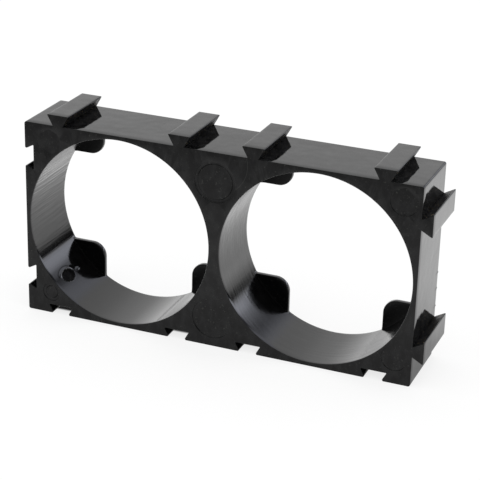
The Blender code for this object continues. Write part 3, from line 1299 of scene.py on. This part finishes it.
@dataclass(frozen=True)
class ReflectedRoom:
    """What the glossy plastic mirrors: a pale room with a bluish window behind on the right.

    Elevations and azimuths are in degrees. Each profile gives the brightness by elevation.
    """

    left: Profile = (
        (0, 1.6), (6, 1.5), (14, 1.34), (20, 1.13), (29, 1.17), (38, 1.1), (60, 1.6), (90, 1.6),
    )
    middle: Profile = ((0, 1.0), (20, 1.32), (29, 1.1), (38, 1.05), (60, 1.6), (90, 1.6))
    window: Profile = (
        (0, 0.74), (2, 0.55), (4, 0.4), (6, 0.35), (8, 1.6), (10, 2.6), (13, 2.4), (16, 1.5),
        (19, 1.1), (22, 0.8), (25, 0.25), (27, 0.4), (30, 0.96), (33, 1.15), (38, 1.1), (60, 1.6),
        (90, 1.6),
    )
    bright_window: Profile = (
        (0, 0.95), (1.5, 0.5), (3, 0.1), (5, 0.03), (6.8, 0.05), (8.3, 2.1), (11, 2.5), (16, 2.4),
        (18, 2.0), (20, 1.1), (22, 0.3), (25.5, 0.15), (27, 0.1), (29, 0.3), (32, 0.7), (37, 0.9),
        (45, 1.1), (60, 1.6), (90, 1.6),
    )
    window_tint: Colour = (0.97, 1.0, 1.12)
    front: Profile = ((0, 0.3), (20, 0.15), (40, 0.3), (60, 1.2), (90, 1.6))
    middle_from: Pair = (-20.0, -10.0)
    window_from: Pair = (6.0, 16.0)
    bright_from: Pair = (31.5, 34.5)
    window_until: Pair = (80.0, 110.0)
    tint_from: Pair = (6.0, 10.0)
    front_from: Pair = (0.1, -0.5)

    def radiance(self, bench: NodeBench) -> Socket:
        """Work out the room's brightness in the direction that a ray leaves in.

        Args:
            bench: The world's nodes.

        Returns:
            The colour's output.
        """
        along, behind, up = bench.axes("Generated")
        azimuth = bench.azimuth(along, behind)
        elevation = bench.calc("DEGREES", bench.calc("ARCSINE", up))

        def level(profile: Profile) -> Socket:
            """Read a profile at the ray's elevation."""
            return bench.profile(elevation, profile)

        to_middle = bench.ease(azimuth, *self.middle_from)
        plain = bench.blend(to_middle, level(self.left), level(self.middle))
        plain = bench.blend(bench.ease(behind, *self.front_from), plain, level(self.front))
        to_bright = bench.ease(azimuth, *self.bright_from)
        glazed = bench.blend(to_bright, level(self.window), level(self.bright_window))
        glow = bench.ease(elevation, *self.tint_from)
        glazed = bench.tinted(glazed, bench.blend(glow, WHITE, (*self.window_tint, 1)))
        share = bench.band(azimuth, self.window_from, self.window_until)
        return bench.blend(share, plain, glazed)


@dataclass(frozen=True)
class PaintedFloorLight:
    """The floor's painted light and shade: dim in front of the bracket and bright behind it.

    Glossy rays see it, with painted shade near the bracket's foot; the camera sees a painted
    contact shadow. A profile gives a level by the distance along an axis, and contact_front
    gives how far the painted contact shadow reaches in front of the middle. Azimuths are in
    degrees.
    """

    by_depth: Profile = (
        (-0.1, 0.62), (-0.071, 0.78), (-0.043, 1.08), (-0.015, 0.85), (0.0, 0.75), (0.01, 0.78),
        (0.015, 0.98), (0.027, 1.2), (0.035, 1.3), (0.06, 1.36), (0.1, 1.36),
    )
    front_by_side: Profile = (
        (-0.06, 0.92), (-0.045, 0.96), (-0.015, 1.0), (0.018, 1.0), (0.05, 0.98),
    )
    behind_by_side: Profile = (
        (-0.052, 0.6), (-0.041, 0.7), (-0.037, 1.4), (-0.032, 1.2), (-0.029, 0.98), (-0.005, 0.96),
        (0.01, 0.88), (0.03, 0.93), (0.04, 1.07), (0.06, 1.08),
    )
    far_right: Profile = ((0.06, 1.0), (0.17, 0.74), (0.3, 0.68), (0.9, 0.58), (1.2, 0.56))
    far_left: Profile = ((0.06, 1.0), (0.09, 0.98), (0.15, 0.95), (1.2, 0.92))
    behind_from: Pair = (-10.0 * MM, 5.0 * MM)
    right_from: Pair = (2.0, 16.0)
    right_until: Pair = (80.0, 110.0)
    left_from: Pair = (-6.0, -12.0)
    shadow_share: float = 0.25
    # Where the painted contact shadow lies, under and beside the bracket.
    contact_end: float = 6.0 * MM
    contact_half: float = 34.0 * MM
    contact_front: Profile = ((-0.034, 0.0045), (0.034, 0.0022))
    contact_feather: float = 0.4 * MM

    def radiance(self, bench: NodeBench) -> Socket:
        """Work out the floor's painted light and shade, as the gloss sees it, at a place.

        Args:
            bench: The floor's nodes.

        Returns:
            The brightness's output, without the part that its paint gives.
        """
        along, behind, _ = bench.axes("Object")
        azimuth = bench.azimuth(along, behind)
        side = bench.blend(
            bench.ease(behind, *self.behind_from),
            bench.profile(along, self.front_by_side),
            bench.profile(along, self.behind_by_side),
        )
        # Painted light and shade: dim in front, darker near the foot, bright behind.
        level = bench.product(bench.profile(behind, self.by_depth), side)
        to_right = bench.band(azimuth, self.right_from, self.right_until)
        far = bench.blend(to_right, WHITE, bench.profile(behind, self.far_right))
        to_left = bench.ease(azimuth, *self.left_from)
        far = bench.blend(to_left, far, bench.profile(behind, self.far_left))
        return bench.calc("SUBTRACT", bench.product(level, far), self.shadow_share)

    def contact(self, bench: NodeBench) -> Socket:
        """Work out how much floor glow a painted contact shadow leaves by and under the bracket.

        Args:
            bench: The floor's nodes.

        Returns:
            The share's output.
        """
        along, behind, _ = bench.axes("Object")
        feather, end, half = self.contact_feather, self.contact_end, self.contact_half
        from_front = bench.calc("ADD", behind, bench.profile(along, self.contact_front))
        dark = bench.product(
            bench.ease(from_front, -feather, feather),
            bench.ease(behind, end + feather, end),
            bench.ease(bench.calc("ABSOLUTE", along), half, half - feather),
        )
        return bench.calc("SUBTRACT", 1.0, dark)


@dataclass(frozen=True)
class Studio:
    """The pale floor and the soft white light all round."""

    floor_half: float = 2.5
    floor_paint: float = 0.25
    floor_glow: float = 0.78
    room: ReflectedRoom = ReflectedRoom()
    painted_floor_light: PaintedFloorLight = PaintedFloorLight()

    def floor(self) -> bpy.types.Object:
        """Lay the floor."""
        mesh = bpy.data.meshes.new("studio_floor")
        half = self.floor_half
        corners = [(-half, -half, 0), (half, -half, 0), (half, half, 0), (-half, half, 0)]
        mesh.from_pydata(corners, [], [(0, 1, 2, 3)])
        mesh.materials.append(self.floor_material())
        floor = placed("studio_floor", mesh)
        return floor

    def floor_material(self) -> bpy.types.Material:
        """Make the floor's pale paint, white in the background, with real and painted shadow."""
        material = bpy.data.materials.new("pale_floor")
        material.use_nodes = True
        material.node_tree.nodes.clear()
        bench = NodeBench(material.node_tree)
        path = bench.add("LightPath", {}).outputs
        seen = bench.calc("MAXIMUM", path["Is Camera Ray"], path["Is Transmission Ray"])
        # Painted contact shadow: the background glow darkened under and beside the bracket.
        background = bench.product(seen, self.floor_glow, self.painted_floor_light.contact(bench))
        # Painted light and shade on the floor, which only glossy rays see.
        painted_floor_gloss = bench.product(self.painted_floor_light.radiance(bench), path["Is Glossy Ray"])
        strength = bench.calc("ADD", background, painted_floor_gloss)
        colour = (self.floor_paint,) * 3 + (1,)
        paint = bench.add("BsdfDiffuse", {"Color": colour}).outputs[0]
        glow = bench.add("Emission", {"Strength": strength}).outputs[0]
        both = bench.add("AddShader", {0: paint, 1: glow}).outputs[0]
        bench.add("OutputMaterial", {"Surface": both})
        return material

    def light(self) -> bpy.types.World:
        """Light the bracket evenly from all sides, and hang the room that its gloss mirrors."""
        world = bpy.data.worlds.new("soft_studio")
        world.use_nodes = True
        bench = NodeBench(world.node_tree)
        gloss = bench.add("LightPath", {}).outputs["Is Glossy Ray"]
        colour = bench.blend(gloss, WHITE, self.room.radiance(bench))
        background = world.node_tree.nodes["Background"]
        bench.feed(background.inputs["Color"], colour)
        bench.feed(background.inputs["Strength"], 1.0)
        bpy.context.scene.world = world
        return world


def main() -> None:
    """Build the bracket and its studio."""
    logging.basicConfig(level=logging.INFO, format="%(message)s")
    low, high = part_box(CAD_NODE)
    bracket = CellBracket(front=low.y, back=high.y).build()
    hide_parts(CAD_NODE)
    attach(bracket, BODY)
    LOG.info("%s stands for %s", bracket.name, CAD_NODE)
    studio = Studio()
    LOG.info("%s laid", studio.floor().name)
    LOG.info("%s lit", studio.light().name)
    LOG.info("%s set", PhotoCamera().stand().name)
    bpy.context.scene.view_settings.view_transform = "Standard"


if __name__ == "__main__":
    main()
